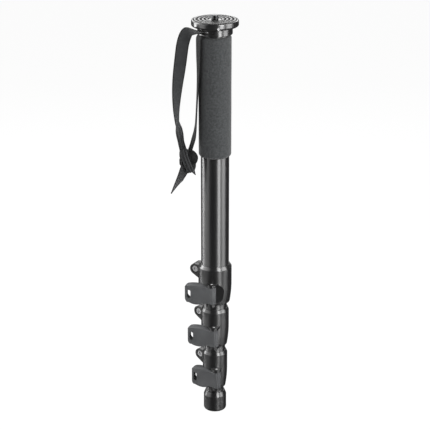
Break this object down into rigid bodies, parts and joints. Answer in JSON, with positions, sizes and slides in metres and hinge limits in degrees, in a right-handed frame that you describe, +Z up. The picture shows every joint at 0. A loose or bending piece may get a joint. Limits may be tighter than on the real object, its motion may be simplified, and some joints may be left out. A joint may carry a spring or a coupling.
{
  "type": "camera monopod",
  "caption": "Closed telescoping monopod with lever locks, foam grip, wrist strap, rubber foot and a ridged top plate with a camera stud.",
  "frame": {"origin": "centre of the rubber foot's bottom face", "axes": "+Z up along the tubes to the camera stud, -Y the front, towards the levers' faces"},
  "size_m": [0.08, 0.059, 0.5206],
  "materials": {
    "anodised_tube": "black anodised, polished",
    "slip_plastic": "smooth acetal",
    "lock_body": "dark satin coat on die casting",
    "brake_plastic": "smooth nylon",
    "lever": "fine grained glass-filled nylon",
    "steel_fixings": "zinc plated",
    "webbing": "woven nylon webbing, bare",
    "head_metal": "gloss black",
    "pad": "glossy ridged rubber",
    "stud": "threaded steel",
    "plug_plastic": "moulded nylon",
    "foam": "closed-cell foam",
    "foot_rubber": "hard black rubber"
  },
  "bodies": {
    "upper_section": {"tube_1": "anodised_tube", "top_plate": "head_metal", "top_pad": "pad", "camera_stud": "stud", "plate_set_screws": "steel_fixings", "head_plug": "plug_plastic", "head_collar": "head_metal", "strap_bar": "steel_fixings", "grip_foam": "foam", "strap_front": "webbing", "strap_rear": "webbing", "strap_knot": "webbing", "strap_long_tail": "webbing", "strap_short_tail": "webbing", "lock_1_collar": "lock_body", "lock_1_liner": "slip_plastic", "lock_1_shoe": "brake_plastic", "lock_1_pivot_pin": "steel_fixings", "lock_1_clamp_screw": "steel_fixings", "lock_1_clamp_nut": "steel_fixings"},
    "section_2": {"tube_2": "anodised_tube", "glide_bushing_2": "slip_plastic", "lock_2_collar": "lock_body", "lock_2_liner": "slip_plastic", "lock_2_shoe": "brake_plastic", "lock_2_pivot_pin": "steel_fixings", "lock_2_clamp_screw": "steel_fixings", "lock_2_clamp_nut": "steel_fixings"},
    "section_3": {"tube_3": "anodised_tube", "glide_bushing_3": "slip_plastic", "lock_3_collar": "lock_body", "lock_3_liner": "slip_plastic", "lock_3_shoe": "brake_plastic", "lock_3_pivot_pin": "steel_fixings", "lock_3_clamp_screw": "steel_fixings", "lock_3_clamp_nut": "steel_fixings"},
    "section_4": {"tube_4": "anodised_tube", "glide_bushing_4": "slip_plastic", "foot_plug": "plug_plastic", "foot_rubber": "foot_rubber"},
    "lever_1": {"lock_1_lever": "lever"},
    "lever_2": {"lock_2_lever": "lever"},
    "lever_3": {"lock_3_lever": "lever"}
  },
  "joints": [
    {"name": "extend_2", "type": "slide", "parent": "upper_section", "child": "section_2", "axis": [0, 0, -1], "range_m": [0, 0.2827]},
    {"name": "extend_3", "type": "slide", "parent": "section_2", "child": "section_3", "axis": [0, 0, -1], "range_m": [0, 0.3399]},
    {"name": "extend_4", "type": "slide", "parent": "section_3", "child": "section_4", "axis": [0, 0, -1], "range_m": [0, 0.3971]},
    {"name": "open_lever_1", "type": "hinge", "parent": "upper_section", "child": "lever_1", "pos_m": [-0.00412, -0.02339, 0.1691], "axis": [0, 0, 1], "range_deg": [0, 110]},
    {"name": "open_lever_2", "type": "hinge", "parent": "section_2", "child": "lever_2", "pos_m": [-0.00152, -0.0217, 0.1096], "axis": [0, 0, 1], "range_deg": [0, 110]},
    {"name": "open_lever_3", "type": "hinge", "parent": "section_3", "child": "lever_3", "pos_m": [0.00206, -0.01964, 0.0501], "axis": [0, 0, 1], "range_deg": [0, 110]}
  ]
}
